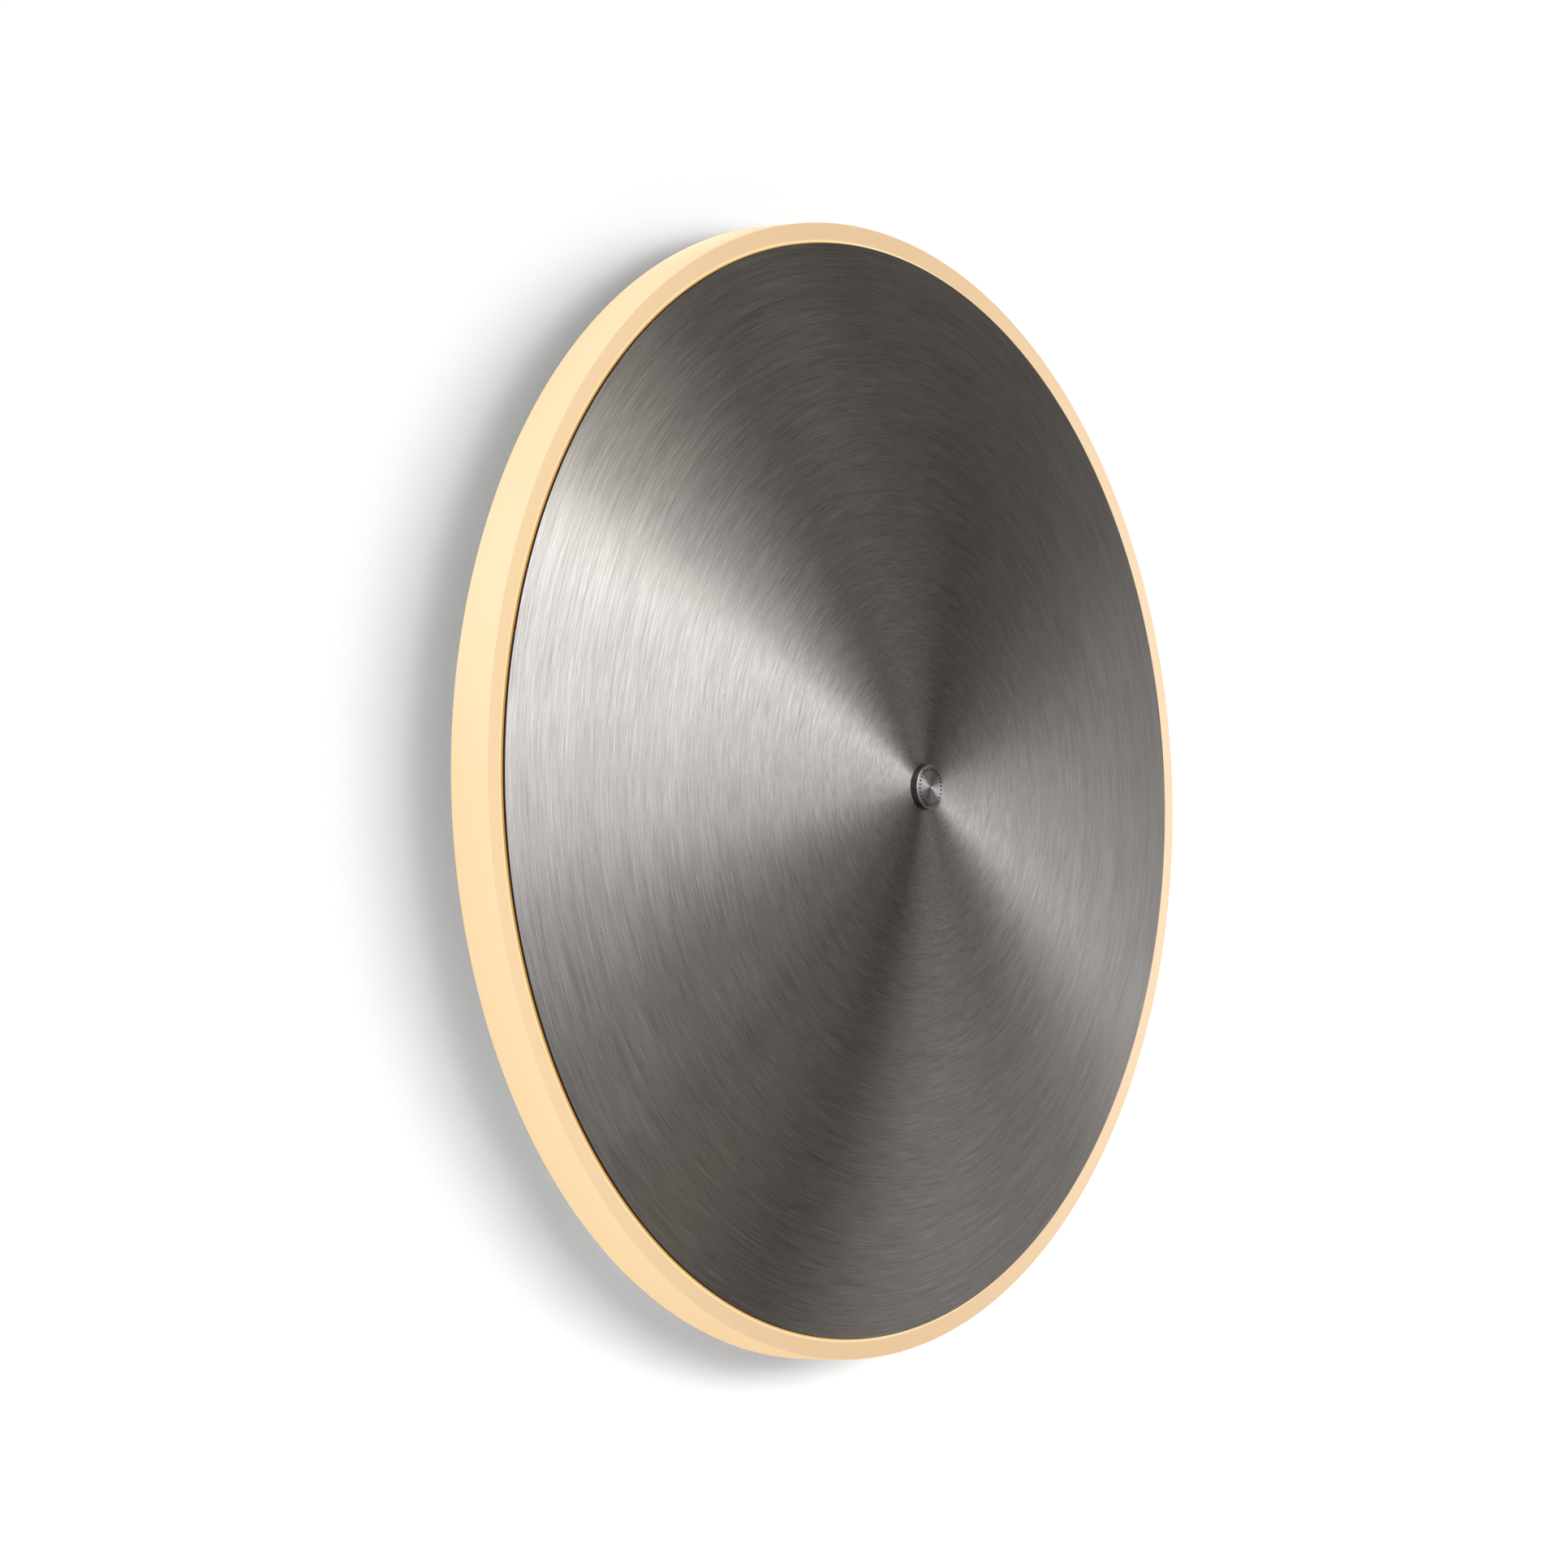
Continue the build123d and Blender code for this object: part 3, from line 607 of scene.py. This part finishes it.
def wall_material():
    """White paint that shows only from the room's side, so the lamp's back can be seen."""
    g = Graph("studio_wall")
    grain = g.noise(g.place(), 260.0, 4.0, 0.6)
    g.set(
        Base_Color=g.mix(grain, (0.80, 0.80, 0.80), (0.82, 0.82, 0.82)),
        Roughness=0.9,
        Specular_IOR_Level=0.0,
        Emission_Color=(1.0, 1.0, 1.0),
        Emission_Strength=0.150,
    )
    clear = g.node("ShaderNodeBsdfTransparent")
    switch = g.node("ShaderNodeMixShader")
    facing = g.node("ShaderNodeNewGeometry").outputs["Backfacing"]
    g.link(facing, switch.inputs[0])
    g.link(g.bsdf.outputs[0], switch.inputs[1])
    g.link(clear.outputs[0], switch.inputs[2])
    g.link(switch.outputs[0], g.out.inputs["Surface"])
    return g.mat


def sheet(name, corners, material):
    mesh = bpy.data.meshes.new(name)
    mesh.from_pydata(corners, [], [tuple(range(len(corners)))])
    obj = bpy.data.objects.new(name, mesh)
    obj.data.materials.append(material)
    bpy.context.scene.collection.objects.link(obj)
    return obj


WALL_HALF, WALL_TOP, FLOOR_Z, FLOOR_DEPTH, FLOOR_HALF, FLOOR_BACK = 1.1, 1.0, -0.9, 1.9, 2.0, 2.0
WALL_Y = 0.0004  # just behind the bracket
wall = sheet(
    "studio_wall",
    [
        (-WALL_HALF, WALL_Y, FLOOR_Z),
        (WALL_HALF, WALL_Y, FLOOR_Z),
        (WALL_HALF, WALL_Y, WALL_TOP),
        (-WALL_HALF, WALL_Y, WALL_TOP),
    ],
    wall_material(),
)
wall.visible_shadow = False
wall.visible_glossy = False
floor = sheet(
    "studio_floor",
    [
        (-FLOOR_HALF, -FLOOR_DEPTH, FLOOR_Z),
        (FLOOR_HALF, -FLOOR_DEPTH, FLOOR_Z),
        (FLOOR_HALF, FLOOR_BACK, FLOOR_Z),
        (-FLOOR_HALF, FLOOR_BACK, FLOOR_Z),
    ],
    coated_material("studio_floor", (0.80, 0.80, 0.80), 0.7, 60.0, 0.02, spread=0.008),
)
floor.visible_glossy = False


LIGHT_DISTANCE = 2.5
PLAIN = (1, 1, 1)


def softbox(
    name, toward, width, height, power, glossy=True, diffuse=True, tint=PLAIN, sample_both=True
):
    """An area light that looks at the lamp. toward is (azimuth, elevation) in degrees, 0 in front.

    Without sample_both, diffuse rays that pass the acrylic, which they don't see, can't meet the light.
    """
    data = bpy.data.lights.new(name, "AREA")
    data.shape = "RECTANGLE"
    data.size, data.size_y = width, height
    data.energy = power
    data.color = tint
    data.cycles.use_multiple_importance_sampling = sample_both
    obj = bpy.data.objects.new(name, data)
    bpy.context.scene.collection.objects.link(obj)
    a, e = math.radians(toward[0]), math.radians(toward[1])
    way = Vector((math.sin(a) * math.cos(e), -math.cos(a) * math.cos(e), math.sin(e)))
    obj.location = way * LIGHT_DISTANCE
    obj.rotation_mode = "QUATERNION"
    obj.rotation_quaternion = way.to_track_quat("Z", "Y")
    obj.visible_glossy = glossy
    obj.visible_diffuse = diffuse
    obj.visible_camera = False
    return obj


# Soft panels tile an arc round the viewer's side: azimuth, then (elevation, watts) up the column.
# The watts aren't set by hand: a least squares fit of the dish's brightness to the photo gave them.
PANEL_SIZE = 0.66
WARM = (1.0, 0.92, 0.83)  # the panels above and below, which the darker sectors see
WARM_FROM_SIDE, WARM_FROM_HEIGHT = -40, 20
PANELS = {
    -88: ((-15, 0.7), (0, 4.4), (15, 5.3), (30, 1.2)),
    -75: ((-60, 0.3), (-30, 0.5), (-15, 2.2), (0, 8.4), (15, 11.3), (30, 4.8), (45, 2.9)),
    -62: ((-60, 2.0), (-45, 3.4), (-30, 2.9), (15, 1.9), (45, 5.5), (60, 0.8)),
    -49: ((-60, 1.6), (-45, 2.2), (-30, 2.5), (45, 4.3), (60, 1.8)),
    -36: ((-60, 1.6), (-30, 0.8), (45, 3.9), (60, 1.1)),
    -23: ((-15, 0.4), (45, 1.2), (60, 0.7)),
    -10: ((-15, 1.2), (0, 1.0), (30, 3.1), (45, 0.1), (60, 0.1)),
    3: ((0, 4.9), (15, 5.2), (45, 2.0), (60, 0.8), (75, 0.5)),
    16: ((-30, 0.4), (-15, 0.7), (0, 1.3), (15, 4.3), (60, 1.0), (75, 0.1)),
    29: ((-30, 0.9), (-15, 0.1), (0, 0.3), (15, 1.1)),
    45: ((-30, 0.3), (15, 0.2), (30, 0.3), (45, 0.1)),
    62: ((-30, 0.6), (-15, 1.0), (0, 0.1), (45, 0.2)),
    80: ((-30, 0.3), (-15, 0.4), (15, 0.3), (30, 0.4)),
}
for side, column in PANELS.items():
    for height, watts in column:
        name = f"panel_{side}_{height}"
        tint = WARM if side > WARM_FROM_SIDE and abs(height) > WARM_FROM_HEIGHT else PLAIN
        softbox(name, (side, height), PANEL_SIZE, PANEL_SIZE, watts, diffuse=False, tint=tint)

# The wall and the painted parts have their own wide wash; it leaves the soft shadow beside the disc
softbox("wash_wide", (4, 9), 6.0, 0.9, 92, glossy=False, sample_both=False)
softbox("wash_far", (60, 4), 6.0, 2.0, 23, glossy=False, sample_both=False)

# Panels behind the wall give the plated parts at the lamp's back something to reflect
softbox("back_panel_left", (-140, 30), 2.2, 1.6, 60, diffuse=False)
softbox("back_panel_right", (150, 10), 1.6, 2.2, 45, diffuse=False)
softbox("back_panel_top", (180, 65), 2.0, 1.2, 25, diffuse=False)

world = bpy.data.worlds.new("studio")
bpy.context.scene.world = world
world.use_nodes = True
nodes, links = world.node_tree.nodes, world.node_tree.links
backdrop = nodes["Background"]
backdrop.inputs[0].default_value = (1, 1, 1, 1)
backdrop.inputs[1].default_value = 1.0
ambient = nodes.new("ShaderNodeBackground")
ambient.inputs[0].default_value = (1.15, 0.98, 0.82, 1)
ambient.inputs[1].default_value = 0.04
path = nodes.new("ShaderNodeLightPath")
choose = nodes.new("ShaderNodeMixShader")
links.new(path.outputs["Is Camera Ray"], choose.inputs[0])
links.new(ambient.outputs[0], choose.inputs[1])
links.new(backdrop.outputs[0], choose.inputs[2])
links.new(choose.outputs[0], nodes["World Output"].inputs["Surface"])

bpy.context.scene.view_settings.view_transform = "Standard"
bpy.context.scene.view_settings.look = "None"
